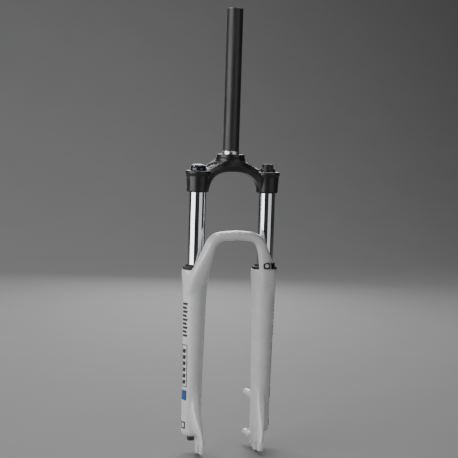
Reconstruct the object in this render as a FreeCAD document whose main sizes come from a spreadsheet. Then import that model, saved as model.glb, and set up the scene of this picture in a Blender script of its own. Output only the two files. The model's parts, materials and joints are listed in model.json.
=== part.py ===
import FreeCAD, Part
import math
import os
import re

import Sketcher

# A bicycle suspension fork. Origin: the crown race seat's plane on the steerer's axis.
# +Z runs up the steerer, -Y is the fork's front, +X is the rider's left (the brake side).

V = FreeCAD.Vector
UP = V(0, 0, 1)
SIDES = {"left": 1, "right": -1}

SIZES = {
    "steerer_dia": 28.6, "steerer_bore": 23.4, "steerer_top": 255.0, "steerer_foot": 28.0,
    "foot_dia": 30.6, "race_dia": 30.0, "race_top": 5.0,
    "leg_out": 64.0, "leg_forward": 17.3,
    "hub_radius": 24.8, "boss_top": 29.5, "boss_foot": 67.0, "boss_radius": 20.6,
    "tube_dia": 30.0, "tube_bore": 26.6, "tube_top": 31.0, "tube_foot": 370.0,
    "cap_dia": 27.2, "cap_top": 24.0, "cap_foot": 44.0, "screw_dia": 7.0,
    "plunger_top": 58.0, "plunger_foot": 66.0,
    "wire_dia": 4.4, "coil_dia": 21.0, "coil_count": 13.0,
    "perch_top": 300.0, "perch_foot": 307.0, "topout_wire": 2.4, "topout_coils": 7.0,
    "guide_top": 352.0, "spring_rod_dia": 12.0, "damper_rod_dia": 8.0,
    "cartridge_dia": 24.0, "cartridge_bore": 21.0, "cartridge_top": 62.0, "cartridge_foot": 300.0,
    "valve_foot": 92.0, "piston_top": 206.0, "piston_foot": 216.0,
    "rim_drop": 202.0, "seal_seat": 213.0, "seal_dia": 38.0, "seal_flange_dia": 44.6,
    "bush_dia": 34.0, "well_dia": 32.0, "upper_bush": 224.0, "lower_bush": 332.0, "bush_length": 18.0,
    "slide_gap": 0.05, "floor_top": 488.0, "foot_drop": 498.0, "bumper_top": 470.6,
    "foot_bolt_dia": 8.0, "foot_head_dia": 13.0,
    "axle_drop": 514.0, "axle_forward": 43.8, "hub_gap": 100.0, "plate_thick": 8.0, "slot_width": 9.2,
    "plate_radius": 20.5,
    "post_out": 48.5, "post_back": 16.0, "post_drop": 505.6, "post_pitch": 74.2, "post_bore": 6.0,
    "guide_out": 58.0, "guide_drop": 193.5,
}

document = FreeCAD.newDocument("fork")
sheet = document.addObject("Spreadsheet::Sheet", "sheet")
for row, (alias, value) in enumerate(SIZES.items(), start=1):
    sheet.set("A%d" % row, alias)
    sheet.set("B%d" % row, str(value))
    sheet.setAlias("B%d" % row, alias)
document.recompute()

SUB_PARTS = []


def size(alias):
    return float(sheet.get(alias))


def bound(text):
    """Turn "tube_dia / 2" into an expression on the sheet's cells."""
    return re.sub(r"[a-z_]{3,}", lambda word: "sheet." + word.group(), text)


def number(text):
    """The value that an outline's expression has now, to draw the sketch near its solution."""
    names = {alias: size(alias) for alias in re.findall(r"[a-z_]{3,}", text)}
    for alias in sorted(names, key=len, reverse=True):
        text = re.sub(r"\b%s\b" % alias, "(%r)" % names[alias], text)
    return FreeCAD.Units.Quantity(text).Value


def keep(thing, label):
    thing.Label = label
    SUB_PARTS.append(thing)
    return thing


def new_sketch(body, name, role):
    """A sketch on one of the body's own origin planes."""
    plane = [item for item in body.Origin.OriginFeatures if item.Role == role][0]
    sketch = body.newObject("Sketcher::SketchObject", name)
    sketch.AttachmentSupport = [(plane, "")]
    sketch.MapMode = "FlatFace"
    return sketch


def outline_sketch(body, name, corners):
    """A closed outline on the XZ plane; each corner is a pair of expressions (radius, height)."""
    sketch = new_sketch(body, name, "XZ_Plane")
    points = [V(number(across), number(along), 0) for across, along in corners]
    count = len(points)
    for index in range(count):
        sketch.addGeometry(Part.LineSegment(points[index], points[(index + 1) % count]), False)
    for index in range(count):
        sketch.addConstraint(Sketcher.Constraint("Coincident", index, 2, (index + 1) % count, 1))
    for index, (across, along) in enumerate(corners):
        if across == "0":
            sketch.addConstraint(Sketcher.Constraint("PointOnObject", index, 1, -2))
        else:
            place = sketch.addConstraint(
                Sketcher.Constraint("DistanceX", -1, 1, index, 1, points[index].x))
            sketch.setExpression("Constraints[%d]" % place, bound(across))
        place = sketch.addConstraint(Sketcher.Constraint("DistanceY", -1, 1, index, 1, points[index].y))
        sketch.setExpression("Constraints[%d]" % place, bound(along))
    return sketch


def turned(label, corners, side=0):
    """A body turned about a vertical axis: on the steerer (side 0) or on a leg (side 1 or -1)."""
    body = document.addObject("PartDesign::Body", label)
    sketch = outline_sketch(body, label + "_outline", corners)
    turn = body.newObject("PartDesign::Revolution", label + "_turn")
    turn.Profile = sketch
    turn.ReferenceAxis = (sketch, ["V_Axis"])
    turn.Angle = 360
    sketch.Visibility = False
    if side:
        body.setExpression("Placement.Base.x", bound("%d * leg_out" % side))
        body.setExpression("Placement.Base.y", bound("-leg_forward"))
    document.recompute()
    return keep(body, label)


def flutes(body, count, reach, radius, depth_top, depth_foot):
    """Vertical finger flutes round a turned knob."""
    sketch = new_sketch(body, body.Name + "_flute", "XY_Plane")
    sketch.AttachmentOffset = FreeCAD.Placement(V(0, 0, -depth_foot), FreeCAD.Rotation())
    sketch.addGeometry(Part.Circle(V(reach, 0, 0), UP, radius), False)
    sketch.addConstraint(Sketcher.Constraint("Radius", 0, radius))
    sketch.addConstraint(Sketcher.Constraint("DistanceX", -1, 1, 0, 3, reach))
    sketch.addConstraint(Sketcher.Constraint("PointOnObject", 0, 3, -1))
    document.recompute()
    before = body.Shape.Volume
    pocket = body.newObject("PartDesign::Pocket", body.Name + "_flute_cut")
    pocket.Profile = sketch
    pocket.Length = depth_foot - depth_top
    pocket.Reversed = True
    document.recompute()
    if body.Shape.Volume > before - 1:
        raise RuntimeError(body.Label + ": the flute cuts nothing")
    pattern = body.newObject("PartDesign::PolarPattern", body.Name + "_flutes")
    pattern.Originals = [pocket]
    pattern.Axis = (sketch, ["N_Axis"])
    pattern.Angle = 360
    pattern.Occurrences = count
    body.Tip = pattern
    sketch.Visibility = False
    document.recompute()


def solid_feature(label, shape):
    """A sub-part whose shape is made with Part's own functions."""
    feature = document.addObject("Part::Feature", label)
    feature.Shape = shape
    return keep(feature, label)


def at_leg(side, depth):
    """A point on a leg's axis, at a depth below the origin."""
    return V(side * size("leg_out"), -size("leg_forward"), -depth)


def rod(radius, base, length, axis=UP):
    return Part.makeCylinder(radius, length, base, axis)


def box(low, high):
    return Part.makeBox(high[0] - low[0], high[1] - low[1], high[2] - low[2], V(*low))


def fused(shapes):
    whole = shapes[0].multiFuse(shapes[1:])
    return whole.removeSplitter()


def flat_first(shape):
    """The same solid with its flat faces listed first, the largest of them leading."""
    faces = sorted(shape.Faces,
                   key=lambda face: (face.Surface.TypeId != "Part::GeomPlane", -face.Area))
    return Part.makeSolid(Part.makeShell(faces))


def coil(side, top, foot, mean_dia, wire, turns):
    """A round-wire coil spring between two depths, with the wire's own thickness inside them."""
    height = foot - top - wire - 0.4
    helix = Part.makeHelix(height / turns, height, mean_dia / 2)
    start = V(mean_dia / 2, 0, 0)
    profile = Part.Wire([Part.makeCircle(wire / 2, start, V(0, 1, 0))])
    spring = Part.Wire(helix.Edges).makePipeShell([profile], True, True)
    spring.translate(at_leg(side, foot - wire / 2 - 0.2))
    return spring


# ---------------------------------------------------------------- steerer and stanchions

turned("steerer_tube", [
    ("steerer_bore / 2", "-steerer_foot"), ("foot_dia / 2", "-steerer_foot"),
    ("foot_dia / 2", "0"), ("race_dia / 2", "0"), ("race_dia / 2", "race_top"), ("steerer_dia / 2", "race_top + 0.7"),
    ("steerer_dia / 2", "steerer_top - 1"), ("steerer_dia / 2 - 1", "steerer_top"),
    ("steerer_bore / 2", "steerer_top")])

for name, side in SIDES.items():
    turned("stanchion_" + name, [
        ("tube_bore / 2", "-tube_foot"), ("tube_dia / 2 - 1", "-tube_foot"),
        ("tube_dia / 2", "-tube_foot + 1"), ("tube_dia / 2", "-tube_top"),
        ("tube_bore / 2", "-tube_top")], side)


# ---------------------------------------------------------------- crown

def crown_arms():
    """Both arms: six-sided sections whose tops slope down to the front, ridged front and rear."""
    # Each station: half width out; then depth and height of the front's top, ridge and foot,
    # and of the rear's top, ridge and foot.
    stations = [
        (58.0, (-24.0, -29.0), (-34.0, -45.0), (-30.0, -66.5), (-4.0, -29.0), (-1.0, -45.0), (-8.0, -66.5)),
        (49.5, (-23.5, -27.6), (-33.6, -40.0), (-29.5, -66.5), (1.0, -23.4), (-1.4, -38.0), (-10.0, -66.5)),
        (47.0, (-23.0, -26.8), (-33.2, -38.0), (-29.0, -61.5), (2.8, -21.8), (0.0, -35.0), (-9.0, -60.0)),
        (43.0, (-22.4, -25.6), (-32.6, -34.4), (-27.5, -50.0), (5.4, -19.2), (3.0, -30.0), (-5.0, -48.0)),
        (39.4, (-23.2, -23.4), (-31.8, -31.6), (-26.2, -44.2), (7.4, -17.0), (6.4, -26.0), (-1.0, -42.4)),
        (34.0, (-23.4, -20.8), (-30.8, -28.6), (-24.6, -38.8), (10.2, -13.9), (10.5, -22.0), (4.0, -37.6)),
        (27.0, (-23.8, -17.0), (-29.8, -25.6), (-23.0, -34.6), (13.2, -10.2), (14.5, -18.0), (8.0, -34.0)),
        (20.0, (-24.2, -13.2), (-28.8, -23.4), (-22.2, -32.4), (15.8, -8.2), (18.0, -16.0), (11.5, -32.0)),
        (12.0, (-24.6, -9.8), (-27.8, -21.6), (-21.4, -30.9), (18.2, -7.0), (21.0, -15.0), (15.2, -30.8)),
        (0.0, (-25.0, -7.6), (-26.8, -20.4), (-21.0, -30.4), (20.0, -6.4), (23.0, -14.6), (17.0, -30.4)),
        (-12.0, (-24.6, -9.8), (-27.8, -21.6), (-21.4, -30.9), (18.2, -7.0), (21.0, -15.0), (15.2, -30.8))]
    sections = []
    for out, top, ridge, foot, rear_top, rear, rear_foot in stations:
        corners = [V(out, *point) for point in (top, ridge, foot, rear_foot, rear, rear_top)]
        sections.append(Part.makePolygon(corners + [corners[0]]))
    half = Part.makeLoft(sections, True, True).common(box((0, -60, -80), (70, 60, 10)))
    return [half, half.mirror(V(0, 0, 0), V(1, 0, 0))]


def crown_boss(side):
    """The sleeve round one stanchion: a cone that flares into a collar at its top."""
    radius, top, foot = size("boss_radius"), size("boss_top"), size("boss_foot")
    corners = [V(0, 0, -foot), V(radius - 2.2, 0, -foot), V(radius - 1.4, 0, -foot + 0.8),
               V(radius, 0, -top - 9), V(radius + 1.5, 0, -top - 4.5), V(radius + 1.5, 0, -top - 1.5),
               V(radius, 0, -top), V(0, 0, -top), V(0, 0, -foot)]
    sleeve = Part.Face(Part.makePolygon(corners)).revolve(V(0, 0, 0), UP, 360)
    sleeve.translate(at_leg(side, 0))
    return sleeve


def crown_hub():
    """The round hub under the crown race, flaring a little into the arms."""
    radius = size("hub_radius")
    corners = [V(0, 0, 0), V(radius - 0.8, 0, 0), V(radius, 0, -0.8), V(radius, 0, -5),
               V(radius + 1.2, 0, -8), V(radius + 1.2, 0, -14), V(0, 0, -14), V(0, 0, 0)]
    return Part.Face(Part.makePolygon(corners)).revolve(V(0, 0, 0), UP, 360)


def arm_pocket(side):
    """The sunk panel on top of an arm, between its two ribs."""
    panel = Part.makeBox(17, 15, 14, V(-8.5, -7.5, 0))
    panel = panel.makeFillet(4.0, [edge for edge in panel.Edges if edge.Length == 14])
    panel.rotate(V(0, 0, 0), V(1, 0, 0), 15)
    panel.rotate(V(0, 0, 0), V(0, 1, 0), side * 26)
    panel.rotate(V(0, 0, 0), UP, side * -10)
    panel.translate(V(side * 36.0, -6.5, -22.4))
    return panel


def side_pocket(side):
    """The sunk panel on a boss's outer side, under the collar."""
    panel = Part.makeCylinder(30, 17, V(0, 0, 0), UP, 46)
    panel.rotate(V(0, 0, 0), UP, -23)
    panel = panel.cut(rod(size("boss_radius") - 2.3, V(0, 0, -1), 20))
    if side < 0:
        panel.rotate(V(0, 0, 0), UP, 180)
    panel.translate(at_leg(side, size("boss_top") + 29))
    return panel


def crown_shape():
    whole = crown_hub()
    for piece in crown_arms() + [crown_boss(side) for side in SIDES.values()]:
        whole = whole.fuse(piece)
    cutters = [rod(size("foot_dia") / 2, V(0, 0, -60), 80)]
    for side in SIDES.values():
        cutters.append(rod(size("tube_dia") / 2, at_leg(side, 80), 60))
        cutters.append(arm_pocket(side))
        cutters.append(side_pocket(side))
    for cutter in cutters:
        whole = whole.cut(cutter)
    return whole


solid_feature("crown", crown_shape())


# ---------------------------------------------------------------- spring leg (rider's left)


def top_cap(label, side, flange):
    """A threaded cap in a stanchion's top end, with a groove for its seal ring."""
    turned(label, [
        ("screw_dia / 2 + 0.3", "-cap_foot"), ("tube_bore / 2 - 0.9", "-cap_foot"),
        ("tube_bore / 2", "-cap_foot + 0.9"), ("tube_bore / 2", "-tube_top - 4"),
        ("tube_bore / 2 - 1.2", "-tube_top - 4"), ("tube_bore / 2 - 1.2", "-tube_top - 2"),
        ("tube_bore / 2", "-tube_top - 2"), ("tube_bore / 2", "-boss_top"),
        (flange, "-boss_top"), (flange, "-cap_top - 1"),
        (flange + " - 1", "-cap_top"), ("screw_dia / 2 + 0.3", "-cap_top")], side)


top_cap("preload_cap", 1, "cap_dia / 2")
top_cap("lockout_cap", -1, "cap_dia / 2 - 2.2")

preload_knob = turned("preload_knob", [
    ("0", "-23.6"), ("11.6", "-23.6"), ("11.6", "-21.6"), ("10.9", "-20.9"), ("10.1", "-20.7"),
    ("9.8", "-16.5"), ("9.0", "-15.7"), ("3.2", "-15.7"), ("3.2", "-16.9"), ("0", "-16.9")], 1)
flutes(preload_knob, 12, 10.9, 1.5, 14.0, 20.8)
turned("preload_screw", [
    ("0", "-57"), ("2.6", "-57"), ("screw_dia / 2", "-56"), ("screw_dia / 2", "-26"),
    ("2.6", "-25.4"), ("2.6", "-23.6"), ("0", "-23.6")], 1)
turned("preload_plunger", [
    ("0", "-plunger_foot - 7"), ("7.6", "-plunger_foot - 7"), ("8", "-plunger_foot"),
    ("tube_bore / 2 - 0.4", "-plunger_foot"), ("tube_bore / 2 - 0.4", "-plunger_top"),
    ("screw_dia / 2 + 3", "-plunger_top"), ("screw_dia / 2 + 3", "-cap_foot - 2"),
    ("screw_dia / 2 + 0.3", "-cap_foot - 2"), ("screw_dia / 2 + 0.3", "-plunger_foot - 1"),
    ("0", "-plunger_foot - 1")], 1)
solid_feature("main_spring", coil(1, size("plunger_foot"), size("perch_top"), size("coil_dia"),
                                  size("wire_dia"), size("coil_count")))
turned("spring_perch", [
    ("0", "-perch_foot"), ("tube_bore / 2 - 0.5", "-perch_foot"), ("tube_bore / 2 - 0.5", "-perch_top"),
    ("7.8", "-perch_top"), ("7.2", "-perch_top + 7"), ("0", "-perch_top + 7")], 1)
turned("spring_rod", [
    ("foot_bolt_dia / 2", "-floor_top"), ("spring_rod_dia / 2", "-floor_top"),
    ("spring_rod_dia / 2", "-perch_foot"), ("foot_bolt_dia / 2", "-perch_foot")], 1)
solid_feature("topout_spring", coil(1, size("perch_foot") + 0.4, size("guide_top"),
                                    size("spring_rod_dia") + 2 * size("topout_wire") + 1.4,
                                    size("topout_wire"), size("topout_coils")))


# ---------------------------------------------------------------- damper leg (rider's right)

turned("lockout_knob", [
    ("0", "-23.6"), ("12.1", "-23.6"), ("12.1", "-29.1"), ("13.6", "-29.1"), ("14.0", "-28.4"),
    ("13.9", "-24.6"), ("13.0", "-22.0"), ("11.2", "-20.2"), ("8.8", "-19.1"), ("5.5", "-18.4"),
    ("0", "-18.2")], -1)
turned("lockout_rod", [
    ("0", "-valve_foot"), ("5.5", "-valve_foot"), ("5.5", "-valve_foot + 6"),
    ("screw_dia / 2 - 0.5", "-valve_foot + 7"), ("screw_dia / 2 - 0.5", "-23.6"), ("0", "-23.6")], -1)
turned("damper_cartridge", [
    ("screw_dia / 2 + 0.2", "-cartridge_top - 4"), ("cartridge_bore / 2", "-cartridge_top - 4"),
    ("cartridge_bore / 2", "-cartridge_foot"), ("cartridge_dia / 2", "-cartridge_foot"),
    ("cartridge_dia / 2", "-cartridge_top"), ("7", "-cartridge_top"), ("7", "-cap_foot"),
    ("screw_dia / 2 + 0.2", "-cap_foot")], -1)
turned("cartridge_head", [
    ("damper_rod_dia / 2 + 0.05", "-cartridge_foot - 8"), ("9", "-cartridge_foot - 8"),
    ("cartridge_dia / 2", "-cartridge_foot - 5"), ("cartridge_dia / 2", "-cartridge_foot"),
    ("cartridge_bore / 2", "-cartridge_foot"), ("cartridge_bore / 2", "-cartridge_foot + 9"),
    ("damper_rod_dia / 2 + 0.05", "-cartridge_foot + 9")], -1)
turned("damper_rod", [
    ("0", "-floor_top + 14"), ("foot_bolt_dia / 2 - 1.2", "-floor_top + 14"),
    ("foot_bolt_dia / 2 - 1.2", "-floor_top"), ("damper_rod_dia / 2", "-floor_top"),
    ("damper_rod_dia / 2", "-piston_foot"), ("2.5", "-piston_foot"), ("2.5", "-piston_top + 4"),
    ("0", "-piston_top + 4")], -1)
turned("damper_piston", [
    ("2.5", "-piston_foot"), ("9.6", "-piston_foot"), ("9.6", "-piston_foot + 3"),
    ("8.4", "-piston_foot + 3"), ("8.4", "-piston_top - 3"), ("9.6", "-piston_top - 3"),
    ("9.6", "-piston_top"), ("2.5", "-piston_top")], -1)
turned("piston_ring", [
    ("8.4", "-piston_foot + 3"), ("cartridge_bore / 2 - 0.1", "-piston_foot + 3"),
    ("cartridge_bore / 2 - 0.1", "-piston_top - 3"), ("8.4", "-piston_top - 3")], -1)

ROD_GAP = {"left": "spring_rod_dia / 2 + slide_gap", "right": "damper_rod_dia / 2 + slide_gap"}
for name, side in SIDES.items():
    turned("rod_guide_" + name, [
        (ROD_GAP[name], "-tube_foot + 3"), ("tube_bore / 2", "-tube_foot + 3"),
        ("tube_bore / 2", "-guide_top"), (ROD_GAP[name], "-guide_top")], side)


def ring(radius, wire, centre):
    """A round-section ring lying flat."""
    return Part.makeTorus(radius, wire, centre, UP)


def circlip(side):
    """An open retaining ring under a rod guide, with its two lugs."""
    outer = size("tube_bore") / 2
    top = at_leg(side, size("tube_foot") - 1.6)
    hoop = rod(outer, top, 1.2).cut(rod(outer - 1.8, top, 1.2))
    gap = box((-3.5, -outer - 1, 0), (3.5, -outer + 3, 1.2))
    gap.translate(top)
    clip = hoop.cut(gap)
    for sign in (1, -1):
        lug = top + V(sign * 4.6, -outer + 3.3, 0)
        clip = clip.fuse(rod(2.0, lug, 1.2)).cut(rod(0.8, lug, 1.2))
    return clip


solid_feature("guide_circlips", Part.makeCompound([circlip(side) for side in SIDES.values()]))
solid_feature("cap_seal_rings", Part.makeCompound([
    ring(size("tube_bore") / 2 - 0.6, 0.6, at_leg(side, size("tube_top") + 3))
    for side in SIDES.values()]))


# ---------------------------------------------------------------- lowers

def leg_shape(side):
    """One leg's outside: a wide rim that narrows into a long, slightly tapered tube."""
    rim, foot = size("rim_drop"), size("foot_drop")
    upper = [V(23.2, 0, -rim), V(24.1, 0, -rim - 3.5), V(24.0, 0, -rim - 10), V(22.6, 0, -rim - 22),
             V(21.2, 0, -rim - 40), V(20.4, 0, -rim - 72), V(19.4, 0, -rim - 127),
             V(18.3, 0, -rim - 180), V(17.9, 0, -rim - 240), V(17.7, 0, -foot + 14)]
    flank = Part.BSplineCurve()
    flank.interpolate(upper)
    toe = Part.Arc(upper[-1], V(15.6, 0, -foot + 4.6), V(9.5, 0, -foot))
    edges = [flank.toShape(), toe.toShape(),
             Part.makeLine(V(9.5, 0, -foot), V(0, 0, -foot)),
             Part.makeLine(V(0, 0, -foot), V(0, 0, -rim)),
             Part.makeLine(V(0, 0, -rim), upper[0])]
    half = Part.Face(Part.Wire(Part.__sortEdges__(edges)))
    leg = half.revolve(V(0, 0, 0), UP, 360)
    leg.translate(at_leg(side, 0))
    return leg


def soft_ring(centre, across, deep, reach, slant=0.0, squareness=0.62, count=16):
    """A closed, round-cornered section: "across" is the direction of its half width "reach"."""
    points = []
    for step in range(count):
        turn = 2 * math.pi * (step + 0.5) / count
        side = math.copysign(abs(math.cos(turn)) ** squareness, math.cos(turn))
        depth = math.copysign(abs(math.sin(turn)) ** squareness, math.sin(turn))
        lean = slant * depth if side > 0 else 0.0
        points.append(centre + across * (reach * side + lean) + V(0, deep * depth, 0))
    curve = Part.BSplineCurve()
    curve.interpolate(points, PeriodicFlag=True)
    return Part.Wire([curve.toShape()])


def arch_shape():
    """The arch: one bridge from leg to leg, in front of the stanchions, drawn by its two edges."""
    outer = [(82.0, -244.0), (81.0, -222.0), (76.5, -203.0), (66.5, -181.0), (56.0, -157.5),
             (48.0, -143.6), (33.0, -135.6), (0.0, -132.0), (-33.0, -135.6)]
    inner = [(54.0, -246.0), (51.0, -226.0), (47.2, -205.0), (43.0, -182.0), (38.6, -163.0),
             (34.0, -154.5), (25.5, -150.2), (0.0, -147.6), (-25.5, -150.2)]
    front = [-37.0, -44.5, -52.0, -57.0, -59.5, -60.0, -60.0, -60.0, -60.0]
    rear = [-22.0, -24.0, -30.0, -37.5, -39.5, -40.0, -40.0, -40.0, -40.0]
    sections = []
    for (outer_x, outer_z), (inner_x, inner_z), near, far in zip(outer, inner, front, rear):
        high, low = V(outer_x, 0, outer_z), V(inner_x, 0, inner_z)
        across = high - low
        reach = across.Length / 2
        across.normalize()
        middle = (high + low) * 0.5 + V(0, (near + far) / 2, 0)
        sections.append(soft_ring(middle, across, (near - far) / 2, reach, -2.6))
    half = Part.makeLoft(sections, True, False).common(box((0, -90, -260), (100, 0, -120)))
    return half.fuse(half.mirror(V(0, 0, 0), V(1, 0, 0))).removeSplitter()


def shin_shape(side):
    """The blade that carries the drop-out forward of the leg and narrows down to its plate."""
    axle, plate = size("axle_drop"), size("plate_thick") / 2
    middle = size("hub_gap") / 2 + plate
    stations = [(-392.0, 62.0, 8.0, -27.0, -14.0), (-430.0, 61.0, 8.8, -37.0, -18.0),
                (-462.0, 59.8, 8.6, -48.5, -20.0), (-484.0, middle + 2.8, 6.2, -59.0, -21.0),
                (-500.0, middle + 0.6, plate - 0.2, -63.4, -22.0),
                (-axle, middle, plate - 0.4, -63.6, -24.0)]
    sections = []
    for depth, out, half_width, near, far in stations:
        centre = V(side * out, (near + far) / 2, depth)
        sections.append(soft_ring(centre, V(side, 0, 0), (near - far) / 2, half_width,
                                  squareness=0.72))
    return Part.makeLoft(sections, True, False)


def dropout_shape(side):
    """The flat plate round the axle, cut off below it on a slant that drops to the rear."""
    plate, radius = size("plate_thick"), size("plate_radius")
    start = V(side * size("hub_gap") / 2, -size("axle_forward"), -size("axle_drop"))
    disc = rod(radius, start, plate, V(side, 0, 0))
    low = box((start.x - 20, start.y - 40, start.z - 40), (start.x + 20, start.y + 40, start.z - 11.5))
    low.rotate(V(0, start.y, start.z - 11.5), V(1, 0, 0), -10.5)
    return disc.cut(low)


def post_web():
    """The brake posts on the rider's left leg, with the webs that tie them to leg and drop-out."""
    out, back = size("post_out"), size("post_back")
    low, high = -size("post_drop"), -size("post_drop") + size("post_pitch")
    posts = [rod(6.3, V(out, back - 34, height), 34, V(0, 1, 0)) for height in (low, high)]
    lower = [V(0, -34, low + 36), V(0, -14, low + 22), V(0, back - 9, low + 6.3), V(0, back - 9, low - 6.3),
             V(0, -20, low - 19), V(0, -40, low - 12)]
    upper = [V(0, -30, high + 14), V(0, back - 10, high + 6.3), V(0, back - 10, high - 6.3),
             V(0, back - 20, high - 17), V(0, -30, high - 26)]
    webs = []
    for corners in (lower, upper):
        face = Part.Face(Part.makePolygon(corners + [corners[0]]))
        web = face.extrude(V(size("plate_thick") - 1, 0, 0))
        web.translate(V(size("hub_gap") / 2, 0, 0))
        webs.append(web)
    return posts + webs


def axle_slot(side):
    """The slot for the wheel's axle: a round seat that opens downward."""
    half = size("slot_width") / 2
    seat = V(side * (size("hub_gap") / 2 - 12), -size("axle_forward"), -size("axle_drop"))
    length = 32
    slot = rod(half, seat, length, V(side, 0, 0))
    low_x, high_x = sorted((seat.x, seat.x + side * length))
    return [slot, box((low_x, seat.y - half, seat.z - 30), (high_x, seat.y + half, seat.z))]


def leg_bores(side):
    """What is machined out of one leg: seal seat, bush bore, well, bolt hole, seal clearance."""
    rim, seat = size("rim_drop"), size("seal_seat")
    bush_end = size("lower_bush") + size("bush_length")
    return [rod(size("seal_dia") / 2, at_leg(side, seat), seat - rim + 0.01),
            rod(size("bush_dia") / 2, at_leg(side, bush_end), bush_end - seat + 0.01),
            rod(size("well_dia") / 2, at_leg(side, size("floor_top")), size("floor_top") - bush_end + 1),
            rod(size("foot_bolt_dia") / 2 + 0.2, at_leg(side, 520), 60),
            rod(size("seal_flange_dia") / 2 + 0.3, at_leg(side, rim), 14),
            rod(size("tube_dia") / 2 + 2.5, at_leg(side, rim), 60)]


def foot_relief(side):
    """The round face under a leg where the foot bolt's head sits."""
    return rod(8.2, at_leg(side, 530), 530 - size("foot_drop"))


def lowers_shape():
    whole = arch_shape()
    for side in SIDES.values():
        for piece in (leg_shape(side), shin_shape(side), dropout_shape(side)):
            whole = whole.fuse(piece)
    for piece in post_web():
        whole = whole.fuse(piece)
    cutters = []
    for side in SIDES.values():
        cutters += leg_bores(side) + axle_slot(side) + [foot_relief(side)]
    for height in (-size("post_drop"), -size("post_drop") + size("post_pitch")):
        back = V(size("post_out"), size("post_back") - 15, height)
        cutters.append(rod(size("post_bore") / 2, back, 20, V(0, 1, 0)))
    for cutter in cutters:
        whole = whole.cut(cutter)
    return whole


lowers = solid_feature("lowers", lowers_shape())

for name, side in SIDES.items():
    turned("dust_seal_" + name, [
        ("16.2", "-seal_seat"), ("seal_dia / 2", "-seal_seat"), ("seal_dia / 2", "-rim_drop"),
        ("seal_flange_dia / 2", "-rim_drop"), ("seal_flange_dia / 2", "-rim_drop + 3.4"),
        ("seal_flange_dia / 2 - 1.2", "-rim_drop + 4.4"), ("18.4", "-rim_drop + 5.4"),
        ("16.4", "-rim_drop + 8.6"), ("tube_dia / 2 + 0.1", "-rim_drop + 8.8"),
        ("tube_dia / 2 + 0.1", "-rim_drop + 7.8"), ("16.2", "-rim_drop + 4")], side)
    turned("foam_ring_" + name, [
        ("tube_dia / 2 + 0.3", "-upper_bush + 1"), ("bush_dia / 2", "-upper_bush + 1"),
        ("bush_dia / 2", "-seal_seat - 0.4"), ("tube_dia / 2 + 0.3", "-seal_seat - 0.4")], side)
    for place in ("upper", "lower"):
        top = place + "_bush"
        turned("%s_bush_%s" % (place, name), [
            ("tube_dia / 2 + slide_gap", "-%s - bush_length" % top),
            ("bush_dia / 2", "-%s - bush_length" % top),
            ("bush_dia / 2", "-%s" % top), ("tube_dia / 2 + slide_gap", "-%s" % top)], side)
    rod_dia = {"left": "spring_rod_dia", "right": "damper_rod_dia"}[name]
    turned("bumper_" + name, [
        (rod_dia + " / 2", "-floor_top"), ("13.5", "-floor_top"), ("13.5", "-bumper_top - 5"),
        ("11.5", "-bumper_top"), (rod_dia + " / 2", "-bumper_top")], side)


def foot_bolt(side):
    """A socket-head bolt that holds the inner rod from under the leg."""
    foot = size("foot_drop") + 1.0
    head = size("foot_head_dia") / 2
    shank = {1: size("foot_bolt_dia") / 2 - 0.01, -1: size("foot_bolt_dia") / 2 - 1.21}[side]
    hexagon = Part.Face(Part.makePolygon([
        V(3.4 * math.cos(math.radians(60 * step)), 3.4 * math.sin(math.radians(60 * step)), 0)
        for step in range(7)])).extrude(V(0, 0, 5))
    bolt = rod(head, V(0, 0, 0), 8).fuse(rod(shank, V(0, 0, 8), foot - size("floor_top") + 13))
    rim = [edge for edge in bolt.Edges if abs(edge.BoundBox.ZMax) < 1e-6]
    bolt = bolt.makeChamfer(0.8, rim).cut(hexagon)
    bolt.translate(at_leg(side, foot + 8))
    return bolt


solid_feature("foot_bolts", Part.makeCompound([foot_bolt(side) for side in SIDES.values()]))
solid_feature("foot_washers", Part.makeCompound([
    rod(7.4, at_leg(side, size("foot_drop") + 1), 1).cut(
        rod(size("foot_bolt_dia") / 2 + 0.1, at_leg(side, size("foot_drop") + 1), 1))
    for side in SIDES.values()]))


# ---------------------------------------------------------------- brake-hose guide

def hose_guide():
    """A clip on the arch's foot: a screwed tab and an open loop that the hose snaps into."""
    tab = Part.makeBox(11, 4, 11, V(-9, -4, -5.5))
    tab = tab.makeFillet(3.5, [edge for edge in tab.Edges if abs(edge.Length - 4) < 1e-6
                               and edge.BoundBox.XMax < 0])
    loop = rod(5.4, V(5.0, -4.4, -5.5), 11)
    guide = fused([tab, loop, box((0, -4, -5.5), (5, 0, 5.5))])
    mouth = box((3.6, -12, -6), (6.6, -5, 6))
    guide = guide.cut(rod(2.7, V(5.0, -4.4, -6), 12)).cut(mouth)
    return guide.cut(rod(2.1, V(-4.6, -6, 0), 8, V(0, 1, 0))).removeSplitter()


def guide_screw():
    """A small round-head screw with a cross of two slots."""
    head = rod(3.3, V(-4.6, -6.2, 0), 2.2, V(0, 1, 0))
    shank = rod(2.0, V(-4.6, -4.2, 0), 7, V(0, 1, 0))
    screw = head.fuse(shank)
    for low, high in (((-7.0, -7, -0.4), (-2.2, -5.3, 0.4)), ((-5.0, -7, -2.4), (-4.2, -5.3, 2.4))):
        screw = screw.cut(box(low, high))
    return screw.removeSplitter()


def arch_front(depth):
    """How far forward the front of the arch's left foot lies at a depth, beside the guide."""
    probe = Part.makeLine(V(size("guide_out"), -90, -depth), V(size("guide_out"), -20, -depth))
    return lowers.Shape.common(probe).BoundBox.YMin


def on_arch_foot(shape):
    """Set a piece down on the front of the arch's left foot, tilted with its surface."""
    middle = size("guide_drop")
    high, low = arch_front(middle - 5), arch_front(middle + 5)
    shape = shape.copy()
    shape.rotate(V(0, 0, 0), V(1, 0, 0), -math.degrees(math.atan2(low - high, 10)))
    shape.translate(V(size("guide_out"), min((high + low) / 2, arch_front(middle)) + 0.1, -middle))
    return shape


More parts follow.
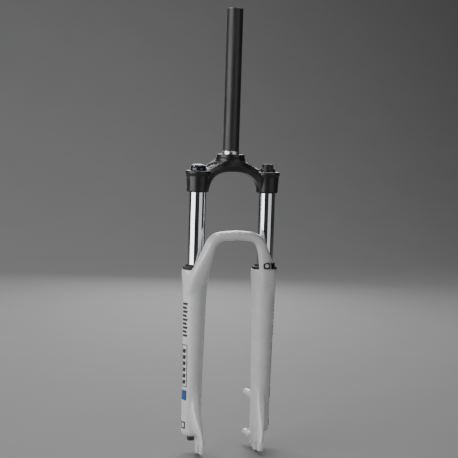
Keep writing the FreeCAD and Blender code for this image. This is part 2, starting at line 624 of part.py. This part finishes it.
# The screw's shank sits in a plain hole in the casting; the tab's back follows the casting.
screw_solid = on_arch_foot(guide_screw())
screw_hole = on_arch_foot(rod(2.0, V(-4.6, -8, 0), 10.8, V(0, 1, 0)))
lowers.Shape = flat_first(lowers.Shape.cut(screw_hole))
solid_feature("hose_guide", on_arch_foot(hose_guide()).cut(lowers.Shape).cut(screw_solid))
solid_feature("hose_guide_screw", screw_solid)


# ---------------------------------------------------------------- check and write

document.recompute()

for thing in document.Objects:
    if "Invalid" in thing.State or "Error" in thing.State:
        raise RuntimeError("%s failed: %s" % (thing.Label, thing.State))

os.makedirs("parts", exist_ok=True)
for thing in SUB_PARTS:
    shape = thing.Shape
    if shape.isNull() or not shape.isValid() or not shape.Solids:
        raise RuntimeError(thing.Label + " has no valid solid")
    print("%-20s solids %d volume %9.1f" % (thing.Label, len(shape.Solids), shape.Volume))
for thing in SUB_PARTS:
    thing.Shape.exportStep("parts/%s.step" % thing.Label)
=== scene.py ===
import json
import math

import bmesh
import bpy
from mathutils import Matrix, Vector
from mathutils.bvhtree import BVHTree


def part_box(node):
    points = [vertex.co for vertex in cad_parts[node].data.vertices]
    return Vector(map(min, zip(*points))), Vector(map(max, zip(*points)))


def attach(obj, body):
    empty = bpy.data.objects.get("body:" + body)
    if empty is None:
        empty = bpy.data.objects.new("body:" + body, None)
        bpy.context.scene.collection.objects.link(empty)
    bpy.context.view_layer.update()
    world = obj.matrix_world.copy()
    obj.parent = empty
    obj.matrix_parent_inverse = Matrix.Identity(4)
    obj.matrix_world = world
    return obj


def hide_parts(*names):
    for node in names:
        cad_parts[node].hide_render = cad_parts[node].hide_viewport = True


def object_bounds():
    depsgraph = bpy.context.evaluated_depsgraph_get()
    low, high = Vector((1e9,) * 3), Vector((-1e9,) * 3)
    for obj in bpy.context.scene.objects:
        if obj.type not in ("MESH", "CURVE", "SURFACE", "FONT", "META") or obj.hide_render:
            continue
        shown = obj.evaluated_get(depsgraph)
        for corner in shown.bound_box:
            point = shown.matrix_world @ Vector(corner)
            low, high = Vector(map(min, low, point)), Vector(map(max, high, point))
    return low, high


# Looks of a bicycle suspension fork. Metres, Z up along the steerer, the fork's front is -Y.

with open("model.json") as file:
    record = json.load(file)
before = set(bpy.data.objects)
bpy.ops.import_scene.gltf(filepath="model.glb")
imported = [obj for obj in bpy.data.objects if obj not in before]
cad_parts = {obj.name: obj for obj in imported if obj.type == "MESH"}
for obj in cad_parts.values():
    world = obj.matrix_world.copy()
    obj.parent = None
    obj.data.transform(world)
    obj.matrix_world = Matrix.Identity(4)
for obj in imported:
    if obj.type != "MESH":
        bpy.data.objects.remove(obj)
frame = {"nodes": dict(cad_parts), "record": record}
cad_box = [list(corner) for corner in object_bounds()]
nodes = frame["nodes"]
scene = bpy.context.scene
MM = 0.001

LEG = {side: (Vector(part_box("stanchion_" + side)[0]) + Vector(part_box("stanchion_" + side)[1])) / 2
       for side in ("left", "right")}
SIGN = {"left": 1, "right": -1}


# ---------------------------------------------------------------- materials

class Paint:
    """A Principled material with short ways to add noise, bump and edge wear."""

    def __init__(self, name, color, rough, metal=0.0, **sockets):
        self.material = bpy.data.materials.new(name)
        self.material.use_nodes = True
        self.tree = self.material.node_tree
        self.shader = self.tree.nodes["Principled BSDF"]
        self.shader.inputs["Base Color"].default_value = (*color, 1)
        self.shader.inputs["Roughness"].default_value = rough
        self.shader.inputs["Metallic"].default_value = metal
        for socket, value in sockets.items():
            self.shader.inputs[socket.replace("_", " ")].default_value = value
        self.coords = self.tree.nodes.new("ShaderNodeTexCoord").outputs["Object"]
        self.normal = None

    def link(self, output, target):
        self.tree.links.new(output, target)

    def noise(self, scale, detail=4.0, stretch=(1, 1, 1)):
        """Noise in the part's own coordinates; scale is in features per metre."""
        place = self.tree.nodes.new("ShaderNodeMapping")
        place.inputs["Scale"].default_value = stretch
        texture = self.tree.nodes.new("ShaderNodeTexNoise")
        texture.inputs["Scale"].default_value = scale
        texture.inputs["Detail"].default_value = detail
        self.link(self.coords, place.inputs["Vector"])
        self.link(place.outputs["Vector"], texture.inputs["Vector"])
        return texture.outputs["Fac"]

    def span(self, value, low, high, start=0.0, end=1.0):
        """Map a value from (start, end) to (low, high)."""
        node = self.tree.nodes.new("ShaderNodeMapRange")
        node.inputs["From Min"].default_value = start
        node.inputs["From Max"].default_value = end
        node.inputs["To Min"].default_value = low
        node.inputs["To Max"].default_value = high
        self.link(value, node.inputs["Value"])
        return node.outputs["Result"]

    def mix(self, factor, first, second):
        """Blend two colours by a factor; either may be a plain colour or an output."""
        node = self.tree.nodes.new("ShaderNodeMix")
        node.data_type = "RGBA"
        self.link(factor, node.inputs["Factor"])
        for socket, value in ((node.inputs[6], first), (node.inputs[7], second)):
            if isinstance(value, tuple):
                socket.default_value = (*value, 1)
            else:
                self.link(value, socket)
        return node.outputs[2]

    def color(self, output):
        self.link(output, self.shader.inputs["Base Color"])

    def rough(self, output):
        self.link(output, self.shader.inputs["Roughness"])

    def bump(self, height, depth, strength=1.0):
        node = self.tree.nodes.new("ShaderNodeBump")
        node.inputs["Distance"].default_value = depth
        node.inputs["Strength"].default_value = strength
        self.link(height, node.inputs["Height"])
        if self.normal is not None:
            self.link(self.normal, node.inputs["Normal"])
        self.normal = node.outputs["Normal"]
        self.link(self.normal, self.shader.inputs["Normal"])

    def edges(self, low, high):
        """1 on convex edges, 0 elsewhere."""
        shape = self.tree.nodes.new("ShaderNodeNewGeometry").outputs["Pointiness"]
        return self.span(shape, 0, 1, low, high)


def white_paint():
    """Glossy white paint over a casting: faint orange peel, uneven gloss, grey film in the dips."""
    paint = Paint("white_gloss_paint", (0.76, 0.765, 0.76), 0.24, Coat_Weight=0.7, Coat_Roughness=0.06)
    film = paint.span(paint.noise(22, 5), 0, 1, 0.35, 0.75)
    paint.color(paint.mix(film, (0.84, 0.845, 0.84), (0.78, 0.785, 0.785)))
    paint.rough(paint.span(paint.noise(60, 6), 0.2, 0.36, 0.3, 0.7))
    paint.bump(paint.noise(420, 3), 0.00012, 0.35)
    paint.bump(paint.noise(35, 2), 0.0009, 0.25)
    return paint.material


def black_forging():
    """Satin black coating on a forged crown, a little worn along its edges."""
    paint = Paint("satin_black_coating", (0.012, 0.012, 0.014), 0.36, Coat_Weight=0.25, Coat_Roughness=0.25)
    wear = paint.edges(0.54, 0.60)
    paint.color(paint.mix(wear, (0.011, 0.011, 0.013), (0.05, 0.05, 0.054)))
    paint.rough(paint.span(paint.noise(90, 6), 0.28, 0.46, 0.3, 0.7))
    paint.bump(paint.noise(1500, 3), 0.00005, 0.5)
    return paint.material


def black_steel():
    """Black electro-coated steel: even satin with faint streaks along the tube that vary its roughness; the
    same streaks lighten its colour as painted sheen.
    """
    paint = Paint("black_coated_steel", (0.03, 0.03, 0.032), 0.42, Coat_Weight=0.15, Coat_Roughness=0.3)
    painted_sheen_and_marks = paint.noise(260, 5, (1, 1, 0.06))
    # The lighter vertical streaks in the base colour are painted sheen; the roughness streaks below use the
    # same noise.
    paint.color(paint.mix(paint.span(painted_sheen_and_marks, 0, 1, 0.4, 0.75), (0.026, 0.026, 0.028), (0.044, 0.044, 0.047)))
    paint.rough(paint.span(painted_sheen_and_marks, 0.34, 0.52, 0.3, 0.7))
    paint.bump(paint.noise(1800, 2), 0.00003, 0.4)
    return paint.material


def chrome():
    """Hard chrome with barely visible polishing marks."""
    paint = Paint("hard_chrome", (0.82, 0.83, 0.85), 0.05, 1.0)
    paint.rough(paint.span(paint.noise(300, 4, (1, 1, 12)), 0.03, 0.07, 0.3, 0.7))
    paint.bump(paint.noise(900, 3, (1, 1, 10)), 0.000004, 0.08)
    return paint.material


def turned_metal(name, color, rough):
    """Machined metal with fine rings round the turning axis."""
    paint = Paint(name, color, rough, 1.0)
    paint.rough(paint.span(paint.noise(2200, 3, (0.04, 0.04, 1)), rough - 0.08, rough + 0.12, 0.3, 0.7))
    paint.bump(paint.noise(3500, 2, (0.03, 0.03, 1)), 0.00003, 0.35)
    return paint.material


def moulded(name, color, rough, coat=0.0):
    """Moulded plastic with a fine spark-eroded grain."""
    paint = Paint(name, color, rough, Coat_Weight=coat, Coat_Roughness=0.08)
    darker = tuple(value * 0.75 for value in color)
    paint.color(paint.mix(paint.noise(120, 4), color, darker))
    paint.rough(paint.span(paint.noise(400, 4), rough - 0.06, rough + 0.08, 0.3, 0.7))
    paint.bump(paint.noise(3000, 2), 0.00004, 0.3)
    return paint.material


def rubber():
    """Matt black rubber with a trace of dust in its grooves."""
    paint = Paint("seal_rubber", (0.014, 0.014, 0.015), 0.62)
    dust = paint.span(paint.noise(160, 6), 0, 1, 0.5, 0.85)
    paint.color(paint.mix(dust, (0.013, 0.013, 0.014), (0.045, 0.043, 0.04)))
    paint.bump(paint.noise(1400, 3), 0.00006, 0.5)
    return paint.material


def foam():
    """Open-cell foam."""
    paint = Paint("wiper_foam", (0.05, 0.05, 0.055), 0.9)
    cells = paint.noise(2600, 2)
    paint.color(paint.mix(cells, (0.03, 0.03, 0.033), (0.09, 0.09, 0.095)))
    paint.bump(cells, 0.0003, 0.8)
    return paint.material


def bush_layer():
    """The grey-brown sliding layer of a bush."""
    paint = Paint("bush_layer", (0.16, 0.15, 0.125), 0.5)
    paint.color(paint.mix(paint.noise(1800, 3), (0.12, 0.115, 0.10), (0.22, 0.2, 0.16)))
    paint.bump(paint.noise(2400, 2), 0.00003, 0.4)
    return paint.material


def sticker(name, color, other):
    """Printed film: a faint mottling of the ink under a clear coat."""
    paint = Paint(name, color, 0.3, Coat_Weight=0.5, Coat_Roughness=0.1)
    paint.color(paint.mix(paint.noise(500, 4), color, other))
    paint.bump(paint.noise(900, 2), 0.00002, 0.2)
    return paint.material


MATERIALS = {
    "white_paint": white_paint(),
    "black_paint": black_forging(),
    "black_steel": black_steel(),
    "chrome": chrome(),
    "steel": turned_metal("zinc_plated_steel", (0.56, 0.57, 0.58), 0.3),
    "aluminium": turned_metal("turned_aluminium", (0.72, 0.73, 0.74), 0.28),
    "black_plastic": moulded("black_nylon", (0.016, 0.016, 0.018), 0.42),
    "navy_plastic": moulded("blue_black_anodising", (0.008, 0.010, 0.034), 0.26, 0.5),
    "rubber": rubber(),
    "foam": foam(),
    "bush": bush_layer(),
}
BARE_SEAT = turned_metal("bare_race_seat", (0.74, 0.74, 0.72), 0.24)
INK_BLACK = sticker("black_print", (0.012, 0.013, 0.016), (0.02, 0.021, 0.024))
INK_BLUE = sticker("blue_print", (0.012, 0.09, 0.27), (0.016, 0.11, 0.32))


def finish_node(name, material):
    """Give a carried-over CAD node its own finish."""
    node = nodes[name]
    node.data.materials.clear()
    node.data.materials.append(material)


for entry in frame["record"]["subparts"]:
    finish_node(entry["node"], MATERIALS[entry["material_slot"]])


# ---------------------------------------------------------------- mesh helpers

def new_piece(name, mesh, body, material):
    piece = bpy.data.objects.new(name, mesh)
    scene.collection.objects.link(piece)
    mesh.materials.clear()
    mesh.materials.append(material)
    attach(piece, body)
    return piece


def baked(piece):
    """The piece's mesh with its modifiers applied."""
    graph = bpy.context.evaluated_depsgraph_get()
    return bpy.data.meshes.new_from_object(piece.evaluated_get(graph))


def cast_mesh(node, voxel, rounds, softness):
    """A copy of a CAD node with its joins run together, as a casting or forging has them.

    softness(point) says how much a point may move, from 0 on machined faces to 1."""
    work = bpy.data.objects.new("work", nodes[node].data.copy())
    scene.collection.objects.link(work)
    remesh = work.modifiers.new("remesh", "REMESH")
    remesh.mode = "VOXEL"
    remesh.voxel_size = voxel
    work.data = baked(work)
    work.modifiers.clear()
    group = work.vertex_groups.new(name="soft")
    for vertex in work.data.vertices:
        group.add([vertex.index], softness(vertex.co), "REPLACE")
    smooth = work.modifiers.new("smooth", "SMOOTH")
    smooth.factor = 0.5
    smooth.iterations = rounds
    smooth.vertex_group = "soft"
    mesh = baked(work)
    bpy.data.objects.remove(work)
    mesh.polygons.foreach_set("use_smooth", [True] * len(mesh.polygons))
    return mesh


# ---------------------------------------------------------------- lowers

CAST_VOXEL, CAST_ROUNDS = 1.25 * MM, 26
CASTING_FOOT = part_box("lowers")[0].z
SEAL_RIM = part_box("dust_seal_left")[0].z + 11 * MM
BORE_REACH, RIM_REACH, RIM_BAND = 17.4 * MM, 23.8 * MM, 4 * MM
POST_REAR, BLADE_FRONT, BLADE_HEIGHT = 8 * MM, -22 * MM, 42 * MM


def lowers_softness(point):
    """Full on the arch, the legs' roots and the blades; little on seats, posts and slots."""
    radius = min((Vector((point.x, point.y, 0)) - Vector((leg.x, leg.y, 0))).length
                 for leg in LEG.values())
    if radius < BORE_REACH:
        return 0.0
    if abs(point.z - SEAL_RIM) < RIM_BAND and radius < RIM_REACH:
        return 0.05
    if point.y > POST_REAR:
        return 0.1
    if point.z < CASTING_FOOT + BLADE_HEIGHT and point.y < BLADE_FRONT:
        return 0.12
    return 1.0


casting = new_piece("lowers_casting",
                    cast_mesh("lowers", CAST_VOXEL, CAST_ROUNDS, lowers_softness),
                    "lower", MATERIALS["white_paint"])
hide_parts("lowers")


# ---------------------------------------------------------------- crown

FORGE_VOXEL, FORGE_ROUNDS = 0.8 * MM, 14
STEERER_BORE_REACH, STANCHION_BORE_REACH = 16.5 * MM, 16.2 * MM


def crown_softness(point):
    """Machined faces and bores stay crisp; the forged arms round over."""
    if math.hypot(point.x, point.y) < STEERER_BORE_REACH:
        return 0.0
    for leg in LEG.values():
        if math.hypot(point.x - leg.x, point.y - leg.y) < STANCHION_BORE_REACH:
            return 0.0
    return 1.0


forging = new_piece("crown_forging",
                    cast_mesh("crown", FORGE_VOXEL, FORGE_ROUNDS, crown_softness),
                    "upper", MATERIALS["black_paint"])
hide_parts("crown")


# ---------------------------------------------------------------- bare crown race seat

SEAT_FACES_LOW, SEAT_FACES_HIGH = -1 * MM, 6 * MM
steerer = nodes["steerer_tube"]
steerer.data.materials.append(BARE_SEAT)
for face in steerer.data.polygons:
    if SEAT_FACES_LOW < face.center.z < SEAT_FACES_HIGH:
        face.material_index = 1


# ---------------------------------------------------------------- printed marks on the legs

surface = BVHTree.FromObject(casting, bpy.context.evaluated_depsgraph_get())
LEG_RADIUS = 19.5 * MM
RAY_START = 0.08


def leg_point(side, around, height, lift=0.12 * MM):
    """A point on a leg's outer face: "around" is the way round from its outermost line to the front."""
    leg = LEG[side]
    angle = around / LEG_RADIUS
    outward = Vector((SIGN[side] * math.cos(angle), -math.sin(angle), 0))
    start = Vector((leg.x, leg.y, height)) + outward * RAY_START
    hit = surface.ray_cast(start, -outward)[0]
    return hit + outward * lift


def printed(side, name, outlines, material, step=2.4 * MM):
    """Thin printed film that follows the leg. Each outline is a convex list of (around, height)."""
    grid = bmesh.new()
    for outline in outlines:
        face = grid.faces.new([grid.verts.new((across, up, 0)) for across, up in outline])
        face.normal_update()
    for axis in (0, 1):
        values = [vert.co[axis] for vert in grid.verts]
        low, high = min(values), max(values)
        count = int((high - low) / step)
        for index in range(1, count + 1):
            normal = Vector((axis == 0, axis == 1, 0))
            place = normal * (low + index * (high - low) / (count + 1))
            geometry = list(grid.verts) + list(grid.edges) + list(grid.faces)
            bmesh.ops.bisect_plane(grid, geom=geometry, plane_co=place, plane_no=normal)
    for vert in grid.verts:
        vert.co = leg_point(side, vert.co.x, vert.co.y)
    bmesh.ops.recalc_face_normals(grid, faces=grid.faces)
    bmesh.ops.solidify(grid, geom=list(grid.faces), thickness=0.1 * MM)
    mesh = bpy.data.meshes.new(name)
    grid.to_mesh(mesh)
    grid.free()
    return new_piece(name, mesh, "lower", material)


def slanted(low, high, left, right, lean=0.0):
    """A four-sided mark between two heights; lean shifts its top sideways."""
    return [(left, low), (right, low), (right + lean, high), (left + lean, high)]


def outline_frame(low, high, left, right, width):
    """The four bars of a box-shaped outline."""
    return [slanted(low, low + width, left, right), slanted(high - width, high, left, right),
            slanted(low + width, high - width, left, left + width),
            slanted(low + width, high - width, right - width, right)]


def leg_marks(side):
    """Generic marks in the places where a fork carries its print; no lettering."""
    middle, half = 6.5 * MM, 8.0 * MM
    bars = [slanted(-320 * MM + index * 7 * MM, -316 * MM + index * 7 * MM, middle - 6.2 * MM,
                    middle + 6.2 * MM, 1.6 * MM * (-1) ** index) for index in range(9)]
    printed(side, "tick_marks_" + side, bars, INK_BLACK)
    panel = outline_frame(-409 * MM, -334 * MM, middle - half, middle + half, 1.4 * MM)
    panel += [slanted(-404 * MM + index * 11 * MM, -397 * MM + index * 11 * MM, middle - 5.0 * MM,
                      middle + 3.4 * MM, 1.8 * MM) for index in range(6)]
    printed(side, "panel_mark_" + side, panel, INK_BLACK)
    printed(side, "blue_mark_" + side,
            [slanted(-433 * MM, -415 * MM, middle - half, middle + half)], INK_BLUE)
    printed(side, "square_mark_" + side,
            outline_frame(-484 * MM, -471 * MM, middle - 6.5 * MM, middle + 6.5 * MM, 2.6 * MM),
            INK_BLACK)


for side in ("left", "right"):
    leg_marks(side)


# ---------------------------------------------------------------- camera, floor and light

def turned_view(azimuth, height, roll):
    """The camera's right, up and back directions."""
    back = Vector((math.sin(azimuth) * math.cos(height), -math.cos(azimuth) * math.cos(height),
                   math.sin(height)))
    right = Vector((math.cos(azimuth), math.sin(azimuth), 0))
    up = back.cross(right)
    return (right * math.cos(roll) + up * math.sin(roll), up * math.cos(roll) - right * math.sin(roll),
            back)


LOOK_AT = Vector((0, 0, -0.2))
CAMERA_DISTANCE, CAMERA_RIGHT, CAMERA_UP = 2.00671, 0.00112, 0.06699


def add_camera():
    azimuth, height, roll = math.radians(-17.92), math.radians(4.62), math.radians(1.81)
    level_right, level_up, back = turned_view(azimuth, height, 0)
    right, up, back = turned_view(azimuth, height, roll)
    data = bpy.data.cameras.new("camera")
    data.angle = math.radians(23.013)
    camera = bpy.data.objects.new("camera", data)
    scene.collection.objects.link(camera)
    place = (LOOK_AT + back * CAMERA_DISTANCE + level_right * CAMERA_RIGHT
             + level_up * CAMERA_UP)
    turn = Matrix((right, up, back)).transposed().to_4x4()
    camera.matrix_world = Matrix.Translation(place) @ turn
    scene.camera = camera


def add_light(name, azimuth, distance, height, width, tall, power, aim=-0.25):
    """A soft box. Azimuth 0 is the fork's front and grows towards +X."""
    data = bpy.data.lights.new(name, "AREA")
    data.shape = "RECTANGLE"
    data.size = width
    data.size_y = tall
    data.energy = power
    light = bpy.data.objects.new(name, data)
    scene.collection.objects.link(light)
    angle = math.radians(azimuth)
    place = Vector((math.sin(angle) * distance, -math.cos(angle) * distance, height))
    light.location = place
    light.rotation_euler = (Vector((0, 0, aim)) - place).to_track_quat("-Z", "Y").to_euler()
    light.visible_camera = False


def add_backdrop():
    """A pale floor that sweeps up into a wall far behind."""
    level = cad_box[0][2] - 0.5 * MM
    near, far, rise, half = -5.0, 2.6, 1.6, 6.0
    outline = [(near, level)]
    for step in range(17):
        angle = math.radians(90 * step / 16)
        outline.append((far + rise * math.sin(angle), level + rise * (1 - math.cos(angle))))
    outline.append((far + rise, level + 7))
    corners = [(x, y, z) for y, z in outline for x in (-half, half)]
    faces = [(2 * row, 2 * row + 1, 2 * row + 3, 2 * row + 2) for row in range(len(outline) - 1)]
    mesh = bpy.data.meshes.new("floor")
    mesh.from_pydata(corners, [], faces)
    mesh.polygons.foreach_set("use_smooth", [True] * len(faces))
    floor = bpy.data.objects.new("floor", mesh)
    scene.collection.objects.link(floor)
    paint = Paint("pale_floor", (0.25, 0.25, 0.25), 0.8)
    paint.color(paint.mix(paint.noise(6, 3), (0.242, 0.242, 0.244), (0.258, 0.258, 0.26)))
    mesh.materials.append(paint.material)


def add_world():
    """Pale where the camera looks straight at it, dim for everything that it lights."""
    world = bpy.data.worlds.new("studio")
    world.use_nodes = True
    tree = world.node_tree
    backdrop = tree.nodes["Background"]
    backdrop.inputs["Strength"].default_value = 1.0
    path = tree.nodes.new("ShaderNodeLightPath")
    tone = tree.nodes.new("ShaderNodeMix")
    tone.data_type = "RGBA"
    tone.inputs[6].default_value = (0.03, 0.031, 0.033, 1)
    tone.inputs[7].default_value = (0.20, 0.20, 0.202, 1)
    tree.links.new(path.outputs["Is Camera Ray"], tone.inputs["Factor"])
    tree.links.new(tone.outputs[2], backdrop.inputs["Color"])
    scene.world = world


add_camera()
add_backdrop()
add_world()
add_light("left_panel", -74, 2.2, 0.05, 2.4, 1.7, 48)
add_light("right_panel", 30, 2.3, 0.05, 1.8, 1.7, 7)
add_light("top", 20, 0.7, 1.9, 1.2, 1.2, 4)
add_light("back", 165, 2.0, 0.6, 0.7, 1.5, 14)
add_light("wall_wash", 180, 1.6, 2.6, 3.5, 0.5, 90, -6.0)
